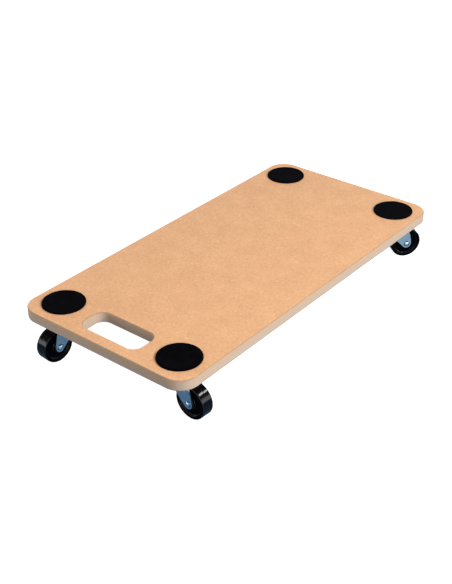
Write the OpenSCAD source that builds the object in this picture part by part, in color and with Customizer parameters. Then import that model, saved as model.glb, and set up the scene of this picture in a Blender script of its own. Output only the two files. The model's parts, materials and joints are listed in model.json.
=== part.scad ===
// Furniture dolly: a flat board with a hand slot and four non-slip pads, on four swivel castors.
// Millimetres. The origin is on the floor under the board's centre, +Z is up, and +Y runs along
// the board from the hand slot's end, the front, to the rear.

/* [Board] */
// Length of the board, along Y
board_l = 590; // [440:5:900]
// Width of the board, along X
board_w = 290; // [240:5:600]
// Thickness of the board
board_t = 16; // [15:1:25]
// Radius of the board's corners, seen from above
board_corner_r = 28; // [10:1:40]
// Radius of the round-over on the board's edges
board_edge_r = 1.5; // [0.5:0.5:3]

/* [Hand slot] */
// Length of the slot, along X
slot_l = 100; // [80:1:120]
// Width of the slot, along Y
slot_w = 44; // [30:1:50]
// Distance from the board's front edge to the slot
slot_inset = 18; // [15:1:30]
// Radius of the slot's corners
slot_corner_r = 14; // [8:1:14]

/* [Pads] */
// Diameter of a pad
pad_d = 60; // [40:1:70]
// Thickness of a pad
pad_t = 2.5; // [1.5:0.5:5]
// Radius of the round-over on a pad's top edge
pad_edge_r = 1.2; // [0.4:0.2:1.4]
// Distance from the board's side to the centre of a pad
pad_inset_side = 42.2; // [36:0.1:60]
// Distance from the board's end to the centre of a pad
pad_inset_end = 43; // [36:0.1:60]

/* [Castor] */
// Height of a castor, from the floor to the top of its plate
castor_h = 62.5; // [62:0.5:75]
// Distance from the board's side to a castor's swivel axis
castor_inset_side = 43.2; // [36:0.1:60]
// Distance from the board's end to a castor's swivel axis
castor_inset_end = 44; // [36:0.1:60]
// Horizontal distance from the swivel axis to the wheel's axle
trail = 23.9; // [20:0.1:26]
// Heading of the front left wheel's trail, in degrees from +X
heading_front_left = -94.2; // [-180:0.1:180]
// Heading of the front right wheel's trail
heading_front_right = -2.9; // [-180:0.1:180]
// Heading of the rear left wheel's trail
heading_rear_left = 180; // [-180:0.1:180]
// Heading of the rear right wheel's trail
heading_rear_right = 52.7; // [-180:0.1:180]

/* [Top plate] */
// Side of the square plate
plate_side = 58; // [56:1:64]
// Thickness of the plate
plate_t = 2; // [1.5:0.1:2.5]
// Radius of the plate's corners
plate_corner_r = 7; // [3:1:9]
// Distance between the screws, along either side
screw_pitch = 44; // [42:1:46]
// Radius of a screw's head
screw_head_r = 4; // [3.5:0.1:4.5]
// Radius of a screw's shank
screw_r = 2; // [1.8:0.1:2.2]
// Length of a screw under its head
screw_l = 15; // [12:1:15]

/* [Swivel head] */
// Radius of the plate's raised race
race_r = 17; // [16:0.5:18]
// Height of the plate's raised race
race_h = 2.3; // [2:0.1:2.5]
// Radius of an upper ball
upper_ball_r = 2; // [1.8:0.1:2.1]
// Radius of the circle of upper balls
upper_pitch_r = 12.5; // [11.5:0.5:13]
// Number of upper balls
upper_balls_n = 16; // [8:1:18]
// Radius of a lower ball
lower_ball_r = 1.25; // [1.1:0.05:1.3]
// Radius of the circle of lower balls
lower_pitch_r = 7.3; // [7:0.1:7.6]
// Number of lower balls
lower_balls_n = 14; // [8:1:16]
// Radius of the lower race
lower_race_r = 10; // [9.5:0.1:10.2]
// Radius of the kingpin's shank
kingpin_r = 4; // [3.5:0.1:4.2]
// Radius of the kingpin's lower head
kingpin_head_r = 7; // [6:0.5:8]

/* [Fork] */
// Width across the outside of the two legs
fork_w = 25; // [24.5:0.1:26]
// Thickness of the legs
leg_t = 1.8; // [1.5:0.1:2]
// Thickness of the crown
crown_t = 2.2; // [2:0.1:2.4]
// Radius of the leg's rounded foot, about the axle
leg_foot_r = 6.9; // [6:0.1:8.5]
// Angle of the leg's leading edge above the floor
leg_lead_angle = 45.5; // [44:0.5:52]
// Radius of the leg's curved trailing edge
leg_trail_r = 50; // [45:1:80]

/* [Wheel] */
// Diameter of the wheel
wheel_d = 48; // [44:1:50]
// Width of the tread
wheel_w = 18; // [16:0.5:18.5]
// Radius of the tread's shoulders
shoulder_r = 1.5; // [1:0.5:4]
// Width of the raised rim on the wheel's side, measured along the radius
rim_w = 5.3; // [4:0.1:8]
// Depth of the side's recess between the rim and the hub
recess_depth = 2; // [1:0.5:4]
// Radius of the hub
hub_r = 7.6; // [6.5:0.1:9]
// Radius of the axle rivet's shank
axle_r = 3; // [2.5:0.1:3]
// Radius of the axle rivet's domed heads
axle_head_r = 5; // [4.5:0.1:5.5]
// Height of the axle rivet's domed heads
axle_head_h = 2.2; // [1.5:0.1:3]

/* [Hidden] */
$fn = 72;

CORNERS = ["front_left", "front_right", "rear_left", "rear_right"];
PIECES = ["pad", "top_plate", "plate_screws", "kingpin", "upper_balls", "lower_balls",
          "lower_race", "fork", "axle_rivet", "axle_sleeve", "wheel"];

// Which side of the board each corner is on: -1 or 1 along X, then along Y
SIDES = [[-1, -1], [1, -1], [-1, 1], [1, 1]];
HEADINGS = [heading_front_left, heading_front_right, heading_rear_left, heading_rear_right];

// Clearances: a part that turns on a pin or a race, and one that is fixed in its seat
run_fit = 0.06;
seat_fit = 0.02;
cut = 1;

// Gaps between the two faces that the balls of each race keep apart
upper_gap = 1.6;
lower_gap = 1.4;
lower_race_t = 1.8;

// Heights above the floor, from the board down to the kingpin's head
board_bottom = castor_h;
board_top = castor_h + board_t;
plate_bottom = castor_h - plate_t;
race_bottom = plate_bottom - race_h;
upper_ball_z = race_bottom - upper_gap / 2;
crown_top = race_bottom - upper_gap;
crown_bottom = crown_top - crown_t;
lower_ball_z = crown_bottom - lower_gap / 2;
lower_race_top = crown_bottom - lower_gap;
lower_race_bottom = lower_race_top - lower_race_t;
axle_z = wheel_d / 2;

kingpin_head_h = 2.4;
kingpin_top_h = 1.2;
kingpin_top_r = kingpin_r + 2;
crown_r = race_r;
fold_r = 3;
screw_head_h = 2.2;
screw_tip_l = 4;
leg_inside = fork_w / 2 - leg_t;
sleeve_r = axle_r + 1;
hub_w = 2 * leg_inside - 1;
slot_y = slot_inset + slot_w / 2 - board_l / 2;

function pad_centre(i) = [
    SIDES[i].x * (board_w / 2 - pad_inset_side),
    SIDES[i].y * (board_l / 2 - pad_inset_end)
];

function castor_centre(i) = [
    SIDES[i].x * (board_w / 2 - castor_inset_side),
    SIDES[i].y * (board_l / 2 - castor_inset_end)
];

// Where the four screws of one plate stand, about the castor's swivel axis
SCREWS = [for (s = SIDES) s * screw_pitch / 2];

// ---- Flat shapes ----

module rounded_rect(w, l, r) {
    square([w - 2 * r, l], center = true);
    square([w, l - 2 * r], center = true);
    for (s = SIDES) translate([s.x * (w / 2 - r), s.y * (l / 2 - r)]) circle(r);
}

// Section through an edge that is rounded above and below, from the axis out to x
module rounded_edge(x, t, r) {
    square([x - r, t]);
    translate([0, r]) square([x, t - 2 * r]);
    for (z = [r, t - r]) translate([x - r, z]) circle(r);
}

// Section through a hole whose mouths flare by radius r, from the axis out to x
module flared_edge(x, t, r) {
    square([x, t]);
    for (side = [0, 1]) translate([0, side * t]) mirror([0, side]) difference() {
        translate([0, -cut]) square([x + r, r + cut]);
        translate([x + r, r]) circle(r);
    }
}

// Solid with a rounded rectangle seen from above, and the section of its children
// all round its edge. The corners turn the section, and the sides extrude it.
module swept_rect(w, l, r) {
    for (s = SIDES) translate([s.x * (w / 2 - r), s.y * (l / 2 - r), 0])
        rotate_extrude() children(0);
    for (a = [0, 180]) rotate([90, 0, a]) linear_extrude(l - 2 * r, center = true)
        translate([w / 2 - r, 0]) children(0);
    for (a = [90, 270]) rotate([90, 0, a]) linear_extrude(w - 2 * r, center = true)
        translate([l / 2 - r, 0]) children(0);
}

// ---- Board and pads ----

module deck_board() {
    color("burlywood") difference() {
        translate([0, 0, board_bottom]) {
            swept_rect(board_w, board_l, board_corner_r)
                rounded_edge(board_corner_r, board_t, board_edge_r);
            linear_extrude(board_t)
                square([board_w - 2 * board_corner_r, board_l - 2 * board_corner_r], center = true);
        }
        translate([0, slot_y, board_bottom]) {
            swept_rect(slot_l, slot_w, slot_corner_r)
                flared_edge(slot_corner_r, board_t, board_edge_r);
            translate([0, 0, -cut]) linear_extrude(board_t + 2 * cut)
                square([slot_l - slot_corner_r, slot_w - slot_corner_r], center = true);
        }
        for (i = [0:3]) translate(castor_centre(i)) for (s = SCREWS)
            translate([s.x, s.y, board_bottom - cut])
                cylinder(r = screw_r + seat_fit, h = screw_l - plate_t + cut);
    }
}

module pad() {
    color("#111114") translate([0, 0, board_top]) rotate_extrude() {
        square([pad_d / 2 - pad_edge_r, pad_t]);
        square([pad_d / 2, pad_t - pad_edge_r]);
        translate([pad_d / 2 - pad_edge_r, pad_t - pad_edge_r]) circle(pad_edge_r);
    }
}

// ---- Parts of a castor that are fixed to the board, about the swivel axis ----

// Groove that a circle of balls runs in
module ball_groove(pitch_r, ball_r) {
    rotate_extrude() translate([pitch_r, 0]) circle(ball_r + run_fit / 2);
}

module ball_ring(pitch_r, ball_r, n) {
    for (i = [0:n - 1]) rotate(360 * i / n) translate([pitch_r, 0, 0]) sphere(ball_r);
}

module top_plate() {
    color("#9fb4c6") difference() {
        union() {
            translate([0, 0, plate_bottom]) linear_extrude(plate_t)
                rounded_rect(plate_side, plate_side, plate_corner_r);
            translate([0, 0, race_bottom]) cylinder(r = race_r, h = race_h + plate_t / 2);
        }
        translate([0, 0, race_bottom - cut])
            cylinder(r = kingpin_r + seat_fit, h = race_h + plate_t + 2 * cut);
        translate([0, 0, castor_h - kingpin_top_h]) cylinder(
            r1 = kingpin_r + seat_fit,
            r2 = kingpin_top_r + seat_fit,
            h = kingpin_top_h
        );
        translate([0, 0, upper_ball_z]) ball_groove(upper_pitch_r, upper_ball_r);
        for (s = SCREWS) translate([s.x, s.y, plate_bottom - cut])
            cylinder(r = screw_r + seat_fit, h = plate_t + 2 * cut);
    }
}

// One pan-head screw with a cross recess, pointing up, its head's seat at z = 0
module wood_screw() {
    recess = [0.9, 4.2, 1.2];
    difference() {
        union() {
            translate([0, 0, -screw_head_h])
                cylinder(r1 = screw_head_r - 1, r2 = screw_head_r, h = screw_head_h / 2);
            translate([0, 0, -screw_head_h / 2]) cylinder(r = screw_head_r, h = screw_head_h / 2);
            cylinder(r = screw_r, h = screw_l - screw_tip_l);
            translate([0, 0, screw_l - screw_tip_l])
                cylinder(r1 = screw_r, r2 = screw_r / 4, h = screw_tip_l);
        }
        for (a = [45, 135]) rotate(a)
            translate([-recess.x / 2, -recess.y / 2, -screw_head_h - cut])
                cube([recess.x, recess.y, recess.z + cut]);
    }
}

module plate_screws() {
    color("#c8cdd2") for (s = SCREWS) translate([s.x, s.y, plate_bottom]) wood_screw();
}

module kingpin() {
    head_bottom = lower_race_bottom - kingpin_head_h;
    color("#b4bcc4") {
        translate([0, 0, head_bottom]) cylinder(
            r1 = kingpin_head_r - kingpin_head_h / 2,
            r2 = kingpin_head_r,
            h = kingpin_head_h / 2
        );
        translate([0, 0, head_bottom + kingpin_head_h / 2])
            cylinder(r = kingpin_head_r, h = kingpin_head_h / 2);
        translate([0, 0, head_bottom + kingpin_head_h / 2])
            cylinder(r = kingpin_r, h = castor_h - head_bottom - kingpin_head_h / 2);
        translate([0, 0, castor_h - kingpin_top_h])
            cylinder(r1 = kingpin_r, r2 = kingpin_top_r, h = kingpin_top_h);
    }
}

module lower_race() {
    color("#8fa6ba") difference() {
        translate([0, 0, lower_race_bottom]) cylinder(r = lower_race_r, h = lower_race_t);
        translate([0, 0, lower_race_bottom - cut])
            cylinder(r = kingpin_r + seat_fit, h = lower_race_t + 2 * cut);
        translate([0, 0, lower_ball_z]) ball_groove(lower_pitch_r, lower_ball_r);
    }
}

// ---- Parts that swivel, with the trail along +X ----

module upper_balls() {
    color("silver") translate([0, 0, upper_ball_z])
        ball_ring(upper_pitch_r, upper_ball_r, upper_balls_n);
}

module lower_balls() {
    color("silver") translate([0, 0, lower_ball_z])
        ball_ring(lower_pitch_r, lower_ball_r, lower_balls_n);
}

// Side view of a leg, X along the trail and Y up
module leg_outline() {
    foot = [trail, axle_z];
    lead = foot - leg_foot_r * [sin(leg_lead_angle), cos(leg_lead_angle)];
    lead_top = lead.x - (crown_top - lead.y) / tan(leg_lead_angle);
    translate(foot) circle(leg_foot_r);
    intersection() {
        polygon([
            lead,
            [lead_top, crown_top],
            [trail + leg_foot_r, crown_top],
            [trail + leg_foot_r, axle_z],
            foot
        ]);
        translate([trail + leg_foot_r - leg_trail_r, axle_z]) circle(leg_trail_r, $fn = 180);
    }
}

// End view of the crown folded down into the two legs, Y up
module fold_section() {
    difference() {
        union() {
            translate([-fork_w / 2, 0]) square([fork_w, crown_top - fold_r]);
            translate([fold_r - fork_w / 2, 0]) square([fork_w - 2 * fold_r, crown_top]);
            for (s = [-1, 1]) translate([s * (fork_w / 2 - fold_r), crown_top - fold_r])
                circle(fold_r);
        }
        translate([-leg_inside, -cut]) square([2 * leg_inside, crown_bottom + cut]);
    }
}

module fork() {
    color("#7f9db8") difference() {
        union() {
            intersection() {
                rotate([90, 0, 0]) linear_extrude(fork_w + 2 * cut, center = true) leg_outline();
                rotate([90, 0, 90]) linear_extrude(6 * trail, center = true) fold_section();
            }
            translate([0, 0, crown_bottom]) cylinder(r = crown_r, h = crown_t);
        }
        translate([0, 0, crown_bottom - cut])
            cylinder(r = kingpin_r + run_fit, h = crown_t + 2 * cut);
        translate([0, 0, upper_ball_z]) ball_groove(upper_pitch_r, upper_ball_r);
        translate([0, 0, lower_ball_z]) ball_groove(lower_pitch_r, lower_ball_r);
        translate([trail, 0, axle_z]) rotate([90, 0, 0])
            cylinder(r = axle_r + seat_fit, h = fork_w + 2 * cut, center = true);
    }
}

// Domed rivet head whose flat side is at z = 0
module dome(r, h) {
    ball_r = (r * r + h * h) / (2 * h);
    intersection() {
        translate([0, 0, h - ball_r]) sphere(ball_r);
        cylinder(r = r + cut, h = h + cut);
    }
}

module axle_rivet() {
    color("#c3ccd6") translate([trail, 0, axle_z]) rotate([90, 0, 0]) {
        cylinder(r = axle_r, h = fork_w, center = true);
        for (a = [0, 180]) rotate([a, 0, 0]) translate([0, 0, fork_w / 2])
            dome(axle_head_r, axle_head_h);
    }
}

module axle_sleeve() {
    color("#aab2ba") translate([trail, 0, axle_z]) rotate([90, 0, 0]) difference() {
        cylinder(r = sleeve_r, h = 2 * leg_inside, center = true);
        cylinder(r = axle_r + seat_fit, h = fork_w, center = true);
    }
}

// ---- Wheel ----

// Section of the wheel, X outwards along the radius and Y across the tread
module wheel_section() {
    wheel_r = wheel_d / 2;
    bore_r = sleeve_r + run_fit;
    square_across(bore_r, hub_r, hub_w);
    square_across(bore_r, wheel_r - rim_w + cut, wheel_w - 2 * recess_depth);
    square_across(wheel_r - rim_w, wheel_r - shoulder_r, wheel_w);
    square_across(wheel_r - rim_w, wheel_r, wheel_w - 2 * shoulder_r);
    for (s = [-1, 1]) translate([wheel_r - shoulder_r, s * (wheel_w / 2 - shoulder_r)])
        circle(shoulder_r);
}

// Rectangle from radius r1 to r2, w wide across the middle plane
module square_across(r1, r2, w) {
    translate([r1, -w / 2]) square([r2 - r1, w]);
}

module wheel() {
    color("#0c0c10") translate([trail, 0, axle_z]) rotate([90, 0, 0])
        rotate_extrude() wheel_section();
}

// ---- Assembly ----

// Places a corner's swivelling parts: about its swivel axis, with the trail at its heading
module swivelled(i) {
    translate(castor_centre(i)) rotate(HEADINGS[i]) children();
}

deck_board();

for (i = [0:3]) {
    corner = CORNERS[i];
    translate(pad_centre(i)) pad();
    translate(castor_centre(i)) top_plate();
    translate(castor_centre(i)) plate_screws();
    translate(castor_centre(i)) kingpin();
    translate(castor_centre(i)) lower_race();
    swivelled(i) upper_balls();
    swivelled(i) lower_balls();
    swivelled(i) fork();
    swivelled(i) axle_rivet();
    swivelled(i) axle_sleeve();
    swivelled(i) wheel();
}
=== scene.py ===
"""Furniture dolly: the looks of each piece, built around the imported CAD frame.

Metres, +Z up, with the floor at z = 0.
"""
import json
import math

import bmesh
import bpy
from mathutils import Matrix, Vector


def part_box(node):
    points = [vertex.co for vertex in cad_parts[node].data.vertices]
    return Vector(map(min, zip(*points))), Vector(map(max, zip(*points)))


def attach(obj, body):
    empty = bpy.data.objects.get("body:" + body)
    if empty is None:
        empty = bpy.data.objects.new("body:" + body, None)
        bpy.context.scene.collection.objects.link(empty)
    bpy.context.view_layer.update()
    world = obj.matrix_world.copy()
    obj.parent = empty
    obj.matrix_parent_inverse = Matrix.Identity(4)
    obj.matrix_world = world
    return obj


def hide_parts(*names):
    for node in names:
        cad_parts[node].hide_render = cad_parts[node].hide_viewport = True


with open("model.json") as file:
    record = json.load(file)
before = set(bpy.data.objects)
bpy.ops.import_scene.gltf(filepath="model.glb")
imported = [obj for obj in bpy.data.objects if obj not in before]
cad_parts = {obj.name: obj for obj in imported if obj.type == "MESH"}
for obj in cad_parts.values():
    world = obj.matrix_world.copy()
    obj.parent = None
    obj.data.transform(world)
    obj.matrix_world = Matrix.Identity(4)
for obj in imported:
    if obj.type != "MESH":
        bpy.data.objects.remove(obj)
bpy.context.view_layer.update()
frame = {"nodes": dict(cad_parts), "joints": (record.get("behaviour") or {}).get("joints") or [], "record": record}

CORNERS = ("front_left", "front_right", "rear_left", "rear_right")
JOINTS = {joint["name"]: joint for joint in frame["joints"]}
BODY_OF = {node: body for body, nodes in frame["record"]["behaviour"]["bodies"].items() for node in nodes}
MM = 0.001

# The board
BOARD_CORNER_R = 28 * MM
BOARD_EDGE_R = 1.5 * MM
SLOT_SIZE = (100 * MM, 44 * MM)
SLOT_CORNER_R = 14 * MM

# The pads
PAD_CHAMFER = 0.3 * MM
PAD_EDGE_R = 1.2 * MM
PAD_RIM_W = 2.2 * MM
PAD_DISH = 0.25 * MM
PAD_SLOPE_W = 0.5 * MM

# The castor, in its own frame: X along the trail, Y along the axle, Z up, on the floor under the kingpin
FORK_W = 25 * MM
FORK_EDGE_R = 0.6 * MM
LEG_T = 1.8 * MM
CROWN_T = 2.2 * MM
CROWN_R = 17 * MM
FOLD_R = 3 * MM
FOOT_R = 6.9 * MM
LEAD_ANGLE = math.radians(45.5)
TRAIL_EDGE_R = 50 * MM
PLATE_T = 2 * MM
PLATE_CORNER_R = 7 * MM
PLATE_EDGE_R = 0.3 * MM
SCREW_PITCH = 44 * MM
SCREW_R = 2 * MM
SCREW_TIP_L = 4 * MM
SCREW_HEAD_R = 4 * MM
SCREW_HEAD_H = 2.2 * MM
CROSS_W = 0.9 * MM
CROSS_L = 4.2 * MM
CROSS_H = 1.2 * MM
KINGPIN_R = 4 * MM
KINGPIN_HEAD_H = 2.4 * MM
KINGPIN_CHAMFER = 1.2 * MM
COUNTERSINK_W = 2 * MM
COUNTERSINK_H = 1.2 * MM
RACE_GAP = 0.02 * MM
FORK_GAP = 0.06 * MM
AXLE_R = 3 * MM
AXLE_HEAD_R = 5 * MM
AXLE_HEAD_H = 2.2 * MM
FLANGE_T = 0.35 * MM
BUTTON_R = 4.6 * MM

# The wheel
WHEEL_W = 18 * MM
RIM_W = 5.3 * MM
SHOULDER_R = 1.5 * MM
RECESS = 2 * MM
WALL_SLANT = 0.5 * MM
HUB_R = 7.6 * MM
BORE_R = 4.06 * MM
MOULD_LINE_W = 0.7 * MM
MOULD_LINE_FLOOR_W = 0.3 * MM
MOULD_LINE_H = 0.12 * MM

# Sizes from the frame. The rear left castor trails along X, so the boxes of its parts give their sizes
PIVOT = Vector(JOINTS["rear_left_swivel"]["pos_m"])
AXLE = Vector(JOINTS["rear_left_roll"]["pos_m"])
TRAIL = (AXLE - PIVOT).to_2d().length
AXLE_Z = AXLE.z
WHEEL_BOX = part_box("rear_left_wheel")
WHEEL_R = (WHEEL_BOX[1].z - WHEEL_BOX[0].z) / 2
HUB_W = WHEEL_BOX[1].y - WHEEL_BOX[0].y
CROWN_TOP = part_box("rear_left_fork")[1].z
CROWN_BOTTOM = CROWN_TOP - CROWN_T

# Mesh work: where shading turns sharp, what a bevel rounds, and how close two points are when they are one
SHARP_ANGLE = math.radians(32)
BEVEL_ANGLE = math.radians(40)
BEVEL_STEPS = 3
WELD = 1e-7
# Length of a cutter that goes right through, extra width of one that's trimmed later, and a hole's sides
THROUGH = 0.3
SPARE = 2 * MM
HOLE_SIDES = 48

# How squarely a face looks along Z, or along the axle, to take one of its part's two finishes, as a cosine. On the
# axle rivet, faces tilted further get a painted dark ring of shade
BOARD_FACE_LIMIT = 0.95
FACE_LIMIT = {"wheel": 0.97, "axle_rivet": 0.87}

# Camera: where it stands, where it looks, and its focal length on a sensor, both in millimetres
CAMERA_AT = Vector((0.82804, -1.05134, 0.8347))
CAMERA_AZIMUTH = math.radians(39.13)
CAMERA_ELEVATION = math.radians(31.54)
CAMERA_ROLL = math.radians(-0.44)
CAMERA_LENS = 65.44
CAMERA_SENSOR = 36

# The floor's size, and its own glow
FLOOR_REACH = 6
FLOOR_T = 0.02
FLOOR_GLOW = 0.93

# Brightness of the surroundings: what matt surfaces see, and what reflections see
DOME_ABOVE = (0.52, 0.52, 0.52)
DOME_BELOW = (0.12, 0.12, 0.12)
GLOSS_ABOVE = (0.13, 0.13, 0.14)
GLOSS_BAND = (2.7, 2.7, 2.75)
GLOSS_BELOW = (0.105, 0.19, 0.29)
GLOSS_BELOW_PALE = (0.36, 0.49, 0.56)
# Heights of a direction, as a sine, over which one brightness turns into the next
DOME_FADE = (-0.1, 0.1)
BAND_BOTTOM_FADE = (-0.04, 0.05)
BAND_TOP_FADE = (0.27, 0.42)
# The side on which reflections are paler below, and how squarely a direction faces it as they turn paler
PALE_SIDE = (0.8, -0.6, 0)
PALE_FADE = (0.35, 0.85)


# ---- Meshes ----

def new_object(name, mesh):
    """An object in the scene that holds the mesh."""
    piece = bpy.data.objects.new(name, mesh)
    bpy.context.scene.collection.objects.link(piece)
    return piece


def shade(mesh):
    """Smooth shading, with sharp edges where two faces meet at a large angle."""
    mesh.shade_smooth()
    mesh.set_sharp_from_angle(angle=SHARP_ANGLE)
    return mesh


def from_bmesh(name, bm):
    """A shaded object made from a bmesh, with its normals pointing outwards."""
    bmesh.ops.remove_doubles(bm, verts=bm.verts, dist=WELD)
    bmesh.ops.recalc_face_normals(bm, faces=bm.faces)
    mesh = bpy.data.meshes.new(name)
    bm.to_mesh(mesh)
    bm.free()
    return new_object(name, shade(mesh))


def arc(centre, radius, start, end, steps):
    """Points on an arc from start to end, in degrees, both ends included."""
    angles = [math.radians(start + (end - start) * i / steps) for i in range(steps + 1)]
    return [(centre[0] + radius * math.cos(a), centre[1] + radius * math.sin(a)) for a in angles]


def filleted(corners, steps=4):
    """An outline with round corners. Each corner is (x, y, radius)."""
    points = []
    for i, (x, y, radius) in enumerate(corners):
        here = Vector((x, y))
        if radius == 0:
            points.append((x, y))
            continue
        before = (Vector(corners[i - 1][:2]) - here).normalized()
        after = (Vector(corners[(i + 1) % len(corners)][:2]) - here).normalized()
        half = before.angle(after) / 2
        centre = here + (before + after).normalized() * radius / math.sin(half)
        start = here + before * radius / math.tan(half) - centre
        end = here + after * radius / math.tan(half) - centre
        for k in range(steps + 1):
            spoke = start.lerp(end, k / steps).normalized() * radius
            points.append(tuple(centre + spoke))
    return points


def lathe(name, profile, steps=96, closed=True):
    """A solid turned about Z. The profile is a list of (radius, z), not closed if it ends on the axis."""
    bm = bmesh.new()
    rings = []
    for i in range(steps):
        a = 2 * math.pi * i / steps
        rings.append([bm.verts.new((r * math.cos(a), r * math.sin(a), z)) for r, z in profile])
    count = len(profile) if closed else len(profile) - 1
    for i in range(steps):
        here, there = rings[i], rings[(i + 1) % steps]
        for k in range(count):
            m = (k + 1) % len(profile)
            bm.faces.new((here[k], there[k], there[m], here[m]))
    if not closed:
        bmesh.ops.remove_doubles(bm, verts=bm.verts, dist=WELD)
        bmesh.ops.dissolve_degenerate(bm, edges=bm.edges, dist=WELD)
    return from_bmesh(name, bm)


def prism(name, outline, depth):
    """The outline, in X and Y, extruded along Z and centred on z = 0."""
    bm = bmesh.new()
    low = [bm.verts.new((x, y, -depth / 2)) for x, y in outline]
    high = [bm.verts.new((x, y, depth / 2)) for x, y in outline]
    bm.faces.new(reversed(low))
    bm.faces.new(high)
    for i in range(len(outline)):
        k = (i + 1) % len(outline)
        bm.faces.new((low[i], low[k], high[k], high[i]))
    return from_bmesh(name, bm)


def plate(name, outlines, thickness, edge_r, edge_steps=3):
    """A flat plate whose edges are rounded above and below. The outlines after the first are holes."""
    curve = bpy.data.curves.new(name, "CURVE")
    curve.dimensions = "2D"
    curve.fill_mode = "BOTH"
    curve.extrude = thickness / 2 - edge_r
    curve.bevel_depth = edge_r
    curve.bevel_resolution = edge_steps
    curve.offset = -edge_r
    for outline in outlines:
        spline = curve.splines.new("POLY")
        spline.points.add(len(outline) - 1)
        for point, (x, y) in zip(spline.points, outline):
            point.co = (x, y, 0, 1)
        spline.use_cyclic_u = True
    holder = bpy.data.objects.new(name + "_curve", curve)
    bpy.context.scene.collection.objects.link(holder)
    mesh = settled_mesh(holder)
    bpy.data.objects.remove(holder)
    bm = bmesh.new()
    bm.from_mesh(mesh)
    bpy.data.meshes.remove(mesh)
    return from_bmesh(name, bm)


def settled_mesh(piece):
    """A copy of the object's mesh with its modifiers applied."""
    bpy.context.view_layer.update()
    graph = bpy.context.evaluated_depsgraph_get()
    return bpy.data.meshes.new_from_object(piece.evaluated_get(graph))


def settle(piece):
    """Applies the object's modifiers to its own mesh."""
    mesh = settled_mesh(piece)
    piece.modifiers.clear()
    piece.data = shade(mesh)
    return piece


def carve(piece, others, operation):
    """Joins the others to the piece, cuts them from it or keeps what they share, and removes them."""
    for other in others:
        change = piece.modifiers.new("carve", "BOOLEAN")
        change.operation = operation
        change.solver = "EXACT"
        change.object = other
    settle(piece)
    for other in others:
        bpy.data.objects.remove(other)
    return piece


def bevelled(piece, width):
    """Rounds the piece's sharp edges."""
    change = piece.modifiers.new("bevel", "BEVEL")
    change.width = width
    change.segments = BEVEL_STEPS
    change.limit_method = "ANGLE"
    change.angle_limit = BEVEL_ANGLE
    change.use_clamp_overlap = True
    return settle(piece)


def weigh_normals(piece):
    """Keeps flat faces flat in the shading, so that only their rounded edges bend a reflection."""
    change = piece.modifiers.new("normals", "WEIGHTED_NORMAL")
    change.keep_sharp = True
    mesh = settled_mesh(piece)
    piece.modifiers.clear()
    piece.data = mesh


def moved(piece, matrix):
    """Moves the piece's mesh by the matrix, and leaves its object at the origin."""
    piece.data.transform(matrix)
    piece.data.update()
    return piece


def copied(piece, name, matrix):
    """A copy of the piece with a mesh of its own, moved by the matrix."""
    return moved(new_object(name, piece.data.copy()), matrix)


def joined(name, pieces):
    """One object that holds the meshes of several."""
    bm = bmesh.new()
    for piece in pieces:
        bm.from_mesh(piece.data)
        bpy.data.objects.remove(piece)
    return from_bmesh(name, bm)


def rounded_rect(width, length, radius, centre=(0, 0), steps=20):
    """Outline of a rectangle with round corners."""
    x, y = width / 2 - radius, length / 2 - radius
    corners = ((x, y, 0), (-x, y, 90), (-x, -y, 180), (x, -y, 270))
    points = []
    for cx, cy, start in corners:
        points += arc((centre[0] + cx, centre[1] + cy), radius, start, start + 90, steps)
    return points


# ---- Materials ----

class NodeGraph:
    """A node tree, and short calls that add nodes to it and return a socket."""

    def __init__(self, tree):
        self.nodes = tree.nodes
        self.links = tree.links

    def component(self, vector, letter):
        """The X, Y or Z of a vector."""
        node = self.nodes.new("ShaderNodeSeparateXYZ")
        self.links.new(vector, node.inputs[0])
        return node.outputs[letter]

    def vector_maths(self, operation, vector, constant, output="Vector"):
        """A product or other operation on a vector and a fixed one."""
        node = self.nodes.new("ShaderNodeVectorMath")
        node.operation = operation
        self.links.new(vector, node.inputs[0])
        node.inputs[1].default_value = constant
        return node.outputs[output]

    def ranged(self, value, low, high, to_low=0.0, to_high=1.0):
        """The value between low and high, remapped and clamped."""
        node = self.nodes.new("ShaderNodeMapRange")
        self.links.new(value, node.inputs["Value"])
        ends = {"From Min": low, "From Max": high, "To Min": to_low, "To Max": to_high}
        for socket, number in ends.items():
            node.inputs[socket].default_value = number
        return node.outputs["Result"]

    def maths(self, operation, *values):
        """A sum, product or other operation on values, each a socket or a number."""
        node = self.nodes.new("ShaderNodeMath")
        node.operation = operation
        for socket, value in zip(node.inputs, values):
            if isinstance(value, (int, float)):
                socket.default_value = value
            else:
                self.links.new(value, socket)
        return node.outputs[0]

    def mixed(self, factor, first, second):
        """A colour between two, each a socket or an (r, g, b)."""
        node = self.nodes.new("ShaderNodeMix")
        node.data_type = "RGBA"
        self.links.new(factor, node.inputs["Factor"])
        colours = [socket for socket in node.inputs if socket.type == "RGBA"]
        for socket, value in zip(colours, (first, second)):
            if isinstance(value, tuple):
                socket.default_value = (*value, 1)
            else:
                self.links.new(value, socket)
        return [socket for socket in node.outputs if socket.type == "RGBA"][0]


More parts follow.
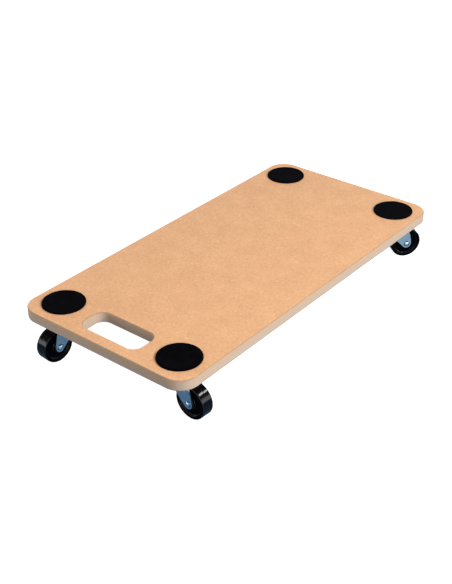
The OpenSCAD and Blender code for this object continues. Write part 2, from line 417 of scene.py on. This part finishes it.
class Finish(NodeGraph):
    """A Principled material and short calls that add the nodes of its detail."""

    def __init__(self, name, **values):
        self.material = bpy.data.materials.new(name)
        self.material.use_nodes = True
        super().__init__(self.material.node_tree)
        self.shader = self.nodes["Principled BSDF"]
        for socket, value in values.items():
            self.shader.inputs[socket.replace("_", " ")].default_value = value
        self.place = self.nodes.new("ShaderNodeTexCoord").outputs["Object"]

    def stretched(self, scale):
        """The object's own coordinates, scaled along each axis."""
        return self.vector_maths("MULTIPLY", self.place, scale)

    def axis(self, letter):
        """One of the object's own coordinates, in metres."""
        return self.component(self.place, letter)

    def noise(self, scale, detail=3.0, roughness=0.55, place=None):
        """Noise from 0 to 1, with scale features to a metre."""
        node = self.nodes.new("ShaderNodeTexNoise")
        self.links.new(place or self.place, node.inputs["Vector"])
        node.inputs["Scale"].default_value = scale
        node.inputs["Detail"].default_value = detail
        node.inputs["Roughness"].default_value = roughness
        return node.outputs["Fac"]

    def cells(self, scale, place=None):
        """Random cells, with scale cells to a metre: the distance from a cell's centre, and its colour."""
        node = self.nodes.new("ShaderNodeTexVoronoi")
        self.links.new(place or self.place, node.inputs["Vector"])
        node.inputs["Scale"].default_value = scale
        return node.outputs["Distance"], node.outputs["Color"]

    def cell_values(self, scale):
        """A random value from 0 to 1 for each cell."""
        node = self.nodes.new("ShaderNodeSeparateColor")
        self.links.new(self.cells(scale)[1], node.inputs[0])
        return node.outputs[0]

    def colour(self, value):
        """Sets the base colour."""
        self.links.new(value, self.shader.inputs["Base Color"])

    def roughness(self, value):
        """Sets the roughness."""
        self.links.new(value, self.shader.inputs["Roughness"])

    def bump(self, *layers):
        """Bumps on the surface. Each layer is (height from 0 to 1, depth in metres)."""
        normal = None
        for height, depth in layers:
            node = self.nodes.new("ShaderNodeBump")
            node.inputs["Distance"].default_value = depth
            self.links.new(height, node.inputs["Height"])
            if normal:
                self.links.new(normal, node.inputs["Normal"])
            normal = node.outputs["Normal"]
        self.links.new(normal, self.shader.inputs["Normal"])


def board_face_finish():
    """The board's sanded face: warm tan and speckled, with dark fibres, pale flecks and soft blotches."""
    f = Finish("mdf_face", IOR=1.45)
    pale, tan = (0.885, 0.50, 0.262), (0.645, 0.328, 0.152)
    deep, fleck = (0.40, 0.18, 0.08), (0.95, 0.62, 0.37)
    blotch = f.ranged(f.noise(26, 5, 0.65), 0.32, 0.68)
    speckle = f.ranged(f.noise(300, 6, 0.85), 0.36, 0.64)
    fibre_x = f.ranged(f.noise(1, 3, 0.65, f.stretched((150, 700, 500))), 0.57, 0.72)
    fibre_y = f.ranged(f.noise(1, 3, 0.65, f.stretched((700, 150, 500))), 0.57, 0.72)
    fibres = f.maths("MAXIMUM", fibre_x, fibre_y)
    flecks = f.ranged(f.cells(170, f.stretched((1.0, 0.7, 1.0)))[0], 0.10, 0.24, 1.0, 0.0)
    tone = f.maths("ADD", f.maths("MULTIPLY", speckle, 0.7), f.maths("MULTIPLY", blotch, 0.3))
    base = f.mixed(tone, tan, pale)
    base = f.mixed(f.maths("MULTIPLY", fibres, 0.34), base, deep)
    f.colour(f.mixed(f.maths("MULTIPLY", flecks, 0.4), base, fleck))
    f.roughness(f.ranged(speckle, 0, 1, 0.55, 0.66))
    f.bump((speckle, 0.00005), (fibres, 0.00004))
    return f.material


def board_edge_finish():
    """The board's cut edge: grey, warmer upwards, dense near both faces, and brown along each arris."""
    low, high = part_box("deck_board")
    middle, half = (low.z + high.z) / 2, (high.z - low.z) / 2
    f = Finish("mdf_edge", IOR=1.45)
    cool, warm, dense = (0.53, 0.45, 0.39), (0.65, 0.43, 0.272), (0.49, 0.36, 0.27)
    arris, dust = (0.42, 0.26, 0.155), (0.68, 0.55, 0.43)
    depth = f.maths("ABSOLUTE", f.maths("SUBTRACT", f.axis("Z"), middle))
    core = f.mixed(f.ranged(f.axis("Z"), low.z, high.z), cool, warm)
    layer = f.ranged(f.noise(1, 3, 0.6, f.stretched((60, 60, 900))), 0.3, 0.7)
    speckle = f.ranged(f.noise(620, 4, 0.75), 0.36, 0.68)
    base = f.mixed(f.ranged(depth, 0.5 * half, 1.3 * half), core, dense)
    base = f.mixed(f.maths("MULTIPLY", layer, 0.3), base, dense)
    base = f.mixed(f.maths("MULTIPLY", speckle, 0.4), base, dust)
    f.colour(f.mixed(f.ranged(depth, half - 1.4 * MM, half - 0.4 * MM), base, arris))
    f.roughness(f.ranged(speckle, 0, 1, 0.7, 0.85))
    f.bump((speckle, 0.00014), (layer, 0.00006))
    return f.material


def pad_finish():
    """Black rubber with a fine leathery grain and a trace of dust."""
    f = Finish("pad_rubber", IOR=1.5, Specular_IOR_Level=0.012)
    grain = f.ranged(f.cells(1300)[0], 0.0, 0.75)
    dust = f.ranged(f.noise(70, 4, 0.6), 0.4, 0.75)
    f.colour(f.mixed(dust, (0.0004, 0.0003, 0.0010), (0.0034, 0.0033, 0.0052)))
    f.roughness(f.ranged(dust, 0, 1, 0.7, 0.85))
    f.bump((grain, 0.00008), (f.noise(400, 3), 0.00005))
    return f.material


def tread_finish():
    """Glossy black moulded plastic with a faint ripple and fine scuffs."""
    f = Finish("wheel_tread", IOR=1.4)
    ripple = f.noise(140, 2)
    scuff = f.ranged(f.noise(1, 3, 0.65, f.stretched((500, 500, 2600))), 0.56, 0.75)
    f.colour(f.mixed(f.maths("MULTIPLY", scuff, 0.3), (0.0014, 0.0014, 0.0022), (0.005, 0.005, 0.008)))
    f.roughness(f.ranged(scuff, 0, 1, 0.08, 0.18))
    f.bump((ripple, 0.000005), (scuff, 0.000002))
    return f.material


def wheel_side_finish():
    """The wheel's sides: the same plastic with a finely textured, less glossy surface."""
    f = Finish("wheel_side", IOR=1.5, Specular_IOR_Level=0.02)
    grain = f.noise(900, 3, 0.6)
    marks = f.ranged(f.noise(90, 4, 0.65), 0.5, 0.75)
    f.colour(f.mixed(f.maths("MULTIPLY", marks, 0.5), (0.0010, 0.0010, 0.0018), (0.0035, 0.0035, 0.0055)))
    f.roughness(f.ranged(grain, 0.3, 0.7, 0.26, 0.4))
    f.bump((grain, 0.00001))
    return f.material


def zinc_finish(name, light, dark, rough):
    """Zinc plate: metallic, with faint crystals, rolling lines and handling marks."""
    f = Finish(name, Metallic=1.0)
    crystals = f.cell_values(260)
    lines = f.noise(1, 3, 0.6, f.stretched((90, 90, 2200)))
    marks = f.ranged(f.noise(120, 4, 0.65), 0.35, 0.7)
    tone = f.maths("ADD", f.maths("MULTIPLY", crystals, 0.45), f.maths("MULTIPLY", marks, 0.55))
    f.colour(f.mixed(tone, dark, light))
    f.roughness(f.ranged(f.maths("ADD", lines, marks), 0.4, 1.5, rough - 0.06, rough + 0.1))
    f.bump((lines, 0.000006), (marks, 0.000005))
    return f.material


def steel_finish(name, light, dark, rough):
    """Bare or bright-plated steel with a fine turned grain."""
    f = Finish(name, Metallic=1.0)
    marks = f.noise(350, 4, 0.6)
    f.colour(f.mixed(f.ranged(marks, 0.3, 0.7), dark, light))
    f.roughness(f.ranged(marks, 0.3, 0.7, rough - 0.04, rough + 0.08))
    f.bump((marks, 0.00001))
    return f.material


def castor_finishes():
    """The finishes of the castors' parts. A part that shows two has a pair; the axle rivet's pair paints light and
    shade on it.
    """
    return {
        "zinc_plate": zinc_finish("zinc_plate", (0.62, 0.68, 0.75), (0.48, 0.55, 0.63), 0.34),
        "zinc_fork": zinc_finish("zinc_fork", (0.66, 0.75, 0.84), (0.52, 0.64, 0.76), 0.3),
        "screw_steel": steel_finish("screw_steel", (0.72, 0.74, 0.76), (0.55, 0.57, 0.6), 0.28),
        "rivet_steel": steel_finish("rivet_steel", (0.74, 0.79, 0.85), (0.58, 0.64, 0.7), 0.14),
        # The axle rivet: a dark blue copy of its steel paints a dark ring of shade and dark reflection round the
        # dome's steep sides and flange rim, and a pale copy paints the lit dome.
        "axle_steel_painted_ring": (
            steel_finish("axle_painted_dark_ring", (0.13, 0.22, 0.32), (0.06, 0.12, 0.2), 0.2),
            steel_finish("axle_dome", (0.80, 0.86, 0.92), (0.62, 0.72, 0.82), 0.16),
        ),
        "ball_steel": steel_finish("ball_steel", (0.8, 0.81, 0.83), (0.7, 0.71, 0.73), 0.1),
        "wheel_plastic": (tread_finish(), wheel_side_finish()),
    }


# ---- Pieces ----

def finished(piece, material, node):
    """Gives the piece its material, or its pair of them, and its body, in place of its CAD node."""
    weigh_normals(piece)
    piece.data.materials.clear()
    materials = material if isinstance(material, tuple) else (material,)
    for item in materials:
        piece.data.materials.append(item)
    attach(piece, BODY_OF[node])
    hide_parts(node)
    return piece


def make_board(face, edge):
    """The board: a plate with round corners, rounded edges and the hand slot."""
    low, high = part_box("deck_board")
    slot_low, slot_high = [Vector(p) for p in frame["record"]["physics"]["openings"][0]["box_m"]]
    centre = (slot_low + slot_high) / 2
    outer = rounded_rect(high.x - low.x, high.y - low.y, BOARD_CORNER_R, steps=28)
    hole = rounded_rect(SLOT_SIZE[0], SLOT_SIZE[1], SLOT_CORNER_R, (centre.x, centre.y), steps=20)
    board = plate("board", [outer, hole[::-1]], high.z - low.z, BOARD_EDGE_R, edge_steps=5)
    moved(board, Matrix.Translation((0, 0, (low.z + high.z) / 2)))
    finished(board, (face, edge), "deck_board")
    for polygon in board.data.polygons:
        polygon.material_index = 0 if abs(polygon.normal.z) > BOARD_FACE_LIMIT else 1


def make_pad(corner, material):
    """A round pad: a shallow dish inside a rounded rim."""
    low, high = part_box(corner + "_pad")
    radius, thickness = (high.x - low.x) / 2, high.z - low.z
    dish_r = radius - PAD_RIM_W
    dish_z = thickness - PAD_DISH
    profile = [(0, 0), (radius - PAD_CHAMFER, 0), (radius, PAD_CHAMFER)]
    profile += arc((radius - PAD_EDGE_R, thickness - PAD_EDGE_R), PAD_EDGE_R, 0, 90, 6)
    profile += [(dish_r, thickness), (dish_r - PAD_SLOPE_W, dish_z), (0, dish_z)]
    pad = lathe(corner + "_rubber_pad", profile, steps=128, closed=False)
    moved(pad, Matrix.Translation(((low.x + high.x) / 2, (low.y + high.y) / 2, low.z)))
    finished(pad, material, corner + "_pad")


def castor_matrix(corner):
    """From the castor's own frame to the object's."""
    pivot = Vector(JOINTS[corner + "_swivel"]["pos_m"])
    axle = Vector(JOINTS[corner + "_roll"]["pos_m"])
    heading = math.atan2(axle.y - pivot.y, axle.x - pivot.x)
    return Matrix.Translation((pivot.x, pivot.y, 0)) @ Matrix.Rotation(heading, 4, "Z")


def axle_matrix():
    """From a solid turned about Z to one turned about the axle, in the castor's own frame."""
    return Matrix.Translation((TRAIL, 0, AXLE_Z)) @ Matrix.Rotation(math.radians(-90), 4, "X")


def make_wheel_shape():
    """The moulded wheel: hub, dished web and rim, with a fine mould line round the tread."""
    half, hub_half = WHEEL_W / 2, HUB_W / 2
    web_half, rim_in = half - RECESS, WHEEL_R - RIM_W
    side = [
        (BORE_R, hub_half, 0.4 * MM),
        (HUB_R, hub_half, 0.8 * MM),
        (HUB_R + WALL_SLANT, web_half, 0.9 * MM),
        (rim_in - WALL_SLANT, web_half, 0.9 * MM),
        (rim_in, half, 0.5 * MM),
        (WHEEL_R, half, SHOULDER_R),
    ]
    mould_line = [(WHEEL_R, MOULD_LINE_W / 2, 0), (WHEEL_R - MOULD_LINE_H, MOULD_LINE_FLOOR_W / 2, 0)]
    mirror = [(r, -z, f) for r, z, f in reversed(side + mould_line)]
    return lathe("wheel_shape", filleted(side + mould_line + mirror, steps=5), steps=144)


def mark_faces(piece, corner, limit):
    """Gives the second finish to the faces that look along the axle; on the axle rivet the rest keep a painted
    dark ring of shade. The limit is a cosine.
    """
    axle = Vector(JOINTS[corner + "_roll"]["axis"])
    for polygon in piece.data.polygons:
        polygon.material_index = 1 if abs(polygon.normal.dot(axle)) > limit else 0


def make_fork_shape():
    """The pressed fork: a crown folded down into two legs, with a round race on top."""
    start = math.degrees(math.atan2(-math.cos(LEAD_ANGLE), -math.sin(LEAD_ANGLE)))
    rise = math.degrees(math.asin((CROWN_TOP - AXLE_Z) / TRAIL_EDGE_R))
    outline = arc((TRAIL, AXLE_Z), FOOT_R, start, 0, 20)
    outline += arc((TRAIL + FOOT_R - TRAIL_EDGE_R, AXLE_Z), TRAIL_EDGE_R, 0, rise, 16)[1:]
    lead = outline[0]
    outline.append((lead[0] - (CROWN_TOP - lead[1]) / math.tan(LEAD_ANGLE), CROWN_TOP))
    legs = prism("fork_shape", outline, FORK_W + SPARE)
    moved(legs, Matrix.Rotation(math.radians(90), 4, "X"))

    outer, inner = FORK_W / 2, FORK_W / 2 - LEG_T
    fold = [
        (-outer, 0, 0),
        (-inner, 0, 0),
        (-inner, CROWN_BOTTOM, FOLD_R - LEG_T),
        (inner, CROWN_BOTTOM, FOLD_R - LEG_T),
        (inner, 0, 0),
        (outer, 0, 0),
        (outer, CROWN_TOP, FOLD_R),
        (-outer, CROWN_TOP, FOLD_R),
    ]
    section = prism("fold", filleted(fold, steps=8), 6 * TRAIL)
    moved(section, Matrix.Rotation(math.radians(90), 4, "Z") @ Matrix.Rotation(math.radians(90), 4, "X"))
    fork = carve(legs, [section], "INTERSECT")
    core_r = 0.5 * MM
    crown = lathe("crown", [
        (core_r, CROWN_BOTTOM), (CROWN_R, CROWN_BOTTOM), (CROWN_R, CROWN_TOP), (core_r, CROWN_TOP)])
    fork = carve(fork, [crown], "UNION")
    last = 360 - 360 / HOLE_SIDES
    hole = prism("hole", arc((0, 0), KINGPIN_R + FORK_GAP, 0, last, HOLE_SIDES - 1), THROUGH)
    fork = carve(fork, [hole], "DIFFERENCE")
    return bevelled(fork, FORK_EDGE_R)


def make_rivet_shape():
    """The axle rivet: a shank between two heads, each a thin flange with a dome on it."""
    reach = FORK_W / 2
    rise = AXLE_HEAD_H - FLANGE_T
    ball_r = (BUTTON_R ** 2 + rise ** 2) / (2 * rise)
    spread = math.degrees(math.asin(BUTTON_R / ball_r))
    half = [(AXLE_R, reach), (AXLE_HEAD_R, reach), (AXLE_HEAD_R, reach + FLANGE_T)]
    half += arc((0, reach + AXLE_HEAD_H - ball_r), ball_r, 90 - spread, 90, 12)
    profile = [(r, -z) for r, z in reversed(half)] + half
    return lathe("rivet_shape", profile, steps=64, closed=False)


def make_kingpin_shape():
    """The kingpin: a shank between a chamfered head below and a countersunk one above."""
    low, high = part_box("front_left_kingpin")
    head_r, head_z = (high.x - low.x) / 2, low.z + KINGPIN_HEAD_H
    profile = filleted([
        (0, low.z, 0),
        (head_r - KINGPIN_CHAMFER, low.z, 0.4 * MM),
        (head_r, low.z + KINGPIN_CHAMFER, 0.5 * MM),
        (head_r, head_z, 0.2 * MM),
        (KINGPIN_R, head_z, 0),
        (KINGPIN_R, high.z - COUNTERSINK_H, 0),
        (KINGPIN_R + COUNTERSINK_W, high.z, 0),
        (0, high.z, 0),
    ])
    return lathe("kingpin_shape", profile, steps=64, closed=False)


def make_race_shape():
    """The lower race: a washer with a rounded lower edge."""
    low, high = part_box("front_left_lower_race")
    radius, bore_r = (high.x - low.x) / 2, KINGPIN_R + RACE_GAP
    profile = filleted([
        (bore_r, low.z, 0.1 * MM),
        (radius, low.z, 0.7 * MM),
        (radius, high.z, 0.25 * MM),
        (bore_r, high.z, 0.1 * MM),
    ])
    return lathe("race_shape", profile, steps=72)


def make_plate_shape():
    """The castor's top plate: a rounded square of sheet, with the race pressed out of its middle."""
    low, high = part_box("front_left_top_plate")
    side = high.x - low.x
    outline = rounded_rect(side, side, PLATE_CORNER_R, steps=10)
    sheet = plate("plate_shape", [outline], PLATE_T, PLATE_EDGE_R)
    moved(sheet, Matrix.Translation((0, 0, high.z - PLATE_T / 2)))
    bore_r, inside_z = KINGPIN_R + RACE_GAP, high.z - PLATE_T + 0.5 * MM
    profile = filleted([
        (bore_r, low.z, 0.2 * MM),
        (CROWN_R - 0.6 * MM, low.z, 1.2 * MM),
        (CROWN_R, inside_z, 0),
        (bore_r, inside_z, 0),
    ], steps=5)
    return carve(sheet, [lathe("boss", profile, steps=96)], "UNION")


def make_screw_shape():
    """A pan-head wood screw with a cross recess, pointing up, its head's seat at z = 0."""
    low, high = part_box("front_left_plate_screws")
    length = high.z - low.z - SCREW_HEAD_H
    profile = filleted([
        (0, -SCREW_HEAD_H, 0),
        (SCREW_HEAD_R * 0.6, -SCREW_HEAD_H, 1.5 * MM),
        (SCREW_HEAD_R, -SCREW_HEAD_H / 2, 0.8 * MM),
        (SCREW_HEAD_R, 0, 0),
        (SCREW_R, 0, 0),
        (SCREW_R, length - SCREW_TIP_L, 0),
        (SCREW_R / 4, length, 0),
        (0, length, 0),
    ])
    screw = lathe("screw_shape", profile, steps=40, closed=False)
    for angle in (45, 135):
        arm = prism("arm", rounded_rect(CROSS_W, CROSS_L, CROSS_W / 3, steps=4), 2 * CROSS_H)
        moved(arm, Matrix.Translation((0, 0, -SCREW_HEAD_H)) @ Matrix.Rotation(math.radians(angle), 4, "Z"))
        carve(screw, [arm], "DIFFERENCE")
    return screw


def make_castors(finishes):
    """The parts of the four castors: each shape is built once, in the castor's own frame, and copied."""
    parts = {
        "top_plate": (make_plate_shape(), "zinc_plate", "zinc_plate"),
        "kingpin": (make_kingpin_shape(), "rivet_steel", "rivet_steel"),
        "lower_race": (make_race_shape(), "zinc_plate", "zinc_plate"),
        "fork": (make_fork_shape(), "zinc_fork", "zinc_fork"),
        "axle_rivet": (moved(make_rivet_shape(), axle_matrix()), "axle_steel_painted_ring", "rivet_steel"),
        "wheel": (moved(make_wheel_shape(), axle_matrix()), "wheel_plastic", "wheel_plastic"),
    }
    screw = make_screw_shape()
    for corner in CORNERS:
        trailing = castor_matrix(corner)
        square = Matrix.Translation(trailing.translation)
        for part, (shape, finish, slot) in parts.items():
            node = f"{corner}_{part}"
            matrix = square if part == "top_plate" else trailing
            piece = finished(copied(shape, node + "_look", matrix), finishes[finish], node)
            # On the axle rivet this leaves a painted dark ring of shade round the dome's edge
            if part in FACE_LIMIT:
                mark_faces(piece, corner, FACE_LIMIT[part])
        make_screws(corner, screw, square, finishes["screw_steel"])
    for shape in [screw] + [part[0] for part in parts.values()]:
        bpy.data.objects.remove(shape)


def make_screws(corner, screw, square, material):
    """The four screws of one top plate, each driven home at its own angle."""
    seat_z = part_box("front_left_plate_screws")[0].z + SCREW_HEAD_H
    half = SCREW_PITCH / 2
    screws = []
    for k, (x, y) in enumerate(((-half, -half), (half, -half), (-half, half), (half, half))):
        turn = Matrix.Rotation(math.radians(20 + 50 * k), 4, "Z")
        seat = square @ Matrix.Translation((x, y, seat_z)) @ turn
        screws.append(copied(screw, f"{corner}_screw_{k}", seat))
    node = corner + "_plate_screws"
    finished(joined(node + "_look", screws), material, node)


def finish_cad_nodes(finishes):
    """Materials for the CAD nodes that are shown as they are."""
    slots = {"upper_balls": "ball_steel", "lower_balls": "ball_steel", "axle_sleeve": "rivet_steel"}
    for corner in CORNERS:
        for part, slot in slots.items():
            mesh = frame["nodes"][f"{corner}_{part}"].data
            mesh.materials.clear()
            mesh.materials.append(finishes[slot])


# ---- Stage ----

def make_floor():
    """White paper that glows, so that shadows on it stay faint. The object isn't lit by it."""
    reach = FLOOR_REACH
    floor = prism("floor", [(-reach, -reach), (reach, -reach), (reach, reach), (-reach, reach)], FLOOR_T)
    moved(floor, Matrix.Translation((0, 0, -FLOOR_T / 2)))
    f = Finish("floor_paper", Roughness=0.9, Specular_IOR_Level=0.1, Emission_Strength=FLOOR_GLOW)
    f.shader.inputs["Emission Color"].default_value = (1, 1, 1, 1)
    f.colour(f.mixed(f.noise(3, 2), (0.50, 0.50, 0.50), (0.53, 0.53, 0.53)))
    floor.data.materials.append(f.material)
    floor.visible_glossy = False
    floor.visible_diffuse = False


def make_world():
    """White to the camera. Matt surfaces see a pale dome over a dim floor. Reflections see a studio:
    a pale band at the horizon, dark above it, and blue below it, paler on one side."""
    world = bpy.data.worlds.new("studio")
    bpy.context.scene.world = world
    world.use_nodes = True
    graph = NodeGraph(world.node_tree)
    direction = graph.nodes.new("ShaderNodeTexCoord").outputs["Generated"]
    height = graph.component(direction, "Z")
    sideways = graph.vector_maths("DOT_PRODUCT", direction, PALE_SIDE, "Value")
    rays = graph.nodes.new("ShaderNodeLightPath")
    below = graph.mixed(graph.ranged(sideways, *PALE_FADE), GLOSS_BELOW, GLOSS_BELOW_PALE)
    gloss = graph.mixed(graph.ranged(height, *BAND_BOTTOM_FADE), below, GLOSS_BAND)
    gloss = graph.mixed(graph.ranged(height, *BAND_TOP_FADE), gloss, GLOSS_ABOVE)
    dome = graph.mixed(graph.ranged(height, *DOME_FADE), DOME_BELOW, DOME_ABOVE)
    seen = graph.mixed(rays.outputs["Is Glossy Ray"], dome, gloss)
    seen = graph.mixed(rays.outputs["Is Camera Ray"], seen, (1.0, 1.0, 1.0))
    graph.links.new(seen, graph.nodes["Background"].inputs["Color"])


def add_softbox(name, azimuth, elevation, distance, size, power, reflected=False):
    """A rectangular light that faces the object, and that shows either on matt surfaces or in reflections.
    The azimuth, in degrees, is counted from +X towards +Y."""
    light = bpy.data.lights.new(name, "AREA")
    light.shape = "RECTANGLE"
    light.size, light.size_y = size
    light.energy = power
    lamp = bpy.data.objects.new(name, light)
    bpy.context.scene.collection.objects.link(lamp)
    a, e = math.radians(azimuth), math.radians(elevation)
    lamp.location = distance * Vector((math.cos(e) * math.cos(a), math.cos(e) * math.sin(a), math.sin(e)))
    lamp.rotation_euler = (-lamp.location).to_track_quat("-Z", "Y").to_euler()
    lamp.visible_glossy = reflected
    lamp.visible_diffuse = not reflected


def make_lights():
    """A key light from the right, a low fill from the left, and a strip that shows as a streak on gloss."""
    add_softbox("key", azimuth=0, elevation=34, distance=2.5, size=(1.2, 1.0), power=65)
    add_softbox("fill", azimuth=-138, elevation=4, distance=1.1, size=(0.6, 0.5), power=3.8)
    add_softbox("strip", azimuth=50, elevation=43.5, distance=3.0, size=(1.2, 0.36), power=20,
                reflected=True)


def make_camera():
    """A camera turned by azimuth about Z from looking along +Y, down by its elevation, then rolled."""
    azimuth, elevation = CAMERA_AZIMUTH, CAMERA_ELEVATION
    back = Vector((math.sin(azimuth) * math.cos(elevation), -math.cos(azimuth) * math.cos(elevation),
                   math.sin(elevation)))
    right = (-back).cross(Vector((0, 0, 1))).normalized()
    up = back.cross(right)
    turned = Matrix((right, up, back)).transposed() @ Matrix.Rotation(CAMERA_ROLL, 3, "Z")
    camera = bpy.data.objects.new("camera", bpy.data.cameras.new("camera"))
    bpy.context.scene.collection.objects.link(camera)
    camera.data.lens = CAMERA_LENS
    camera.data.sensor_width = CAMERA_SENSOR
    camera.data.sensor_fit = "AUTO"
    camera.matrix_world = Matrix.Translation(CAMERA_AT) @ turned.to_4x4()
    bpy.context.scene.camera = camera


make_camera()
make_world()
make_lights()
make_floor()
make_board(board_face_finish(), board_edge_finish())
rubber = pad_finish()
for corner in CORNERS:
    make_pad(corner, rubber)
finishes = castor_finishes()
make_castors(finishes)
finish_cad_nodes(finishes)
bpy.context.scene.view_settings.view_transform = "Standard"
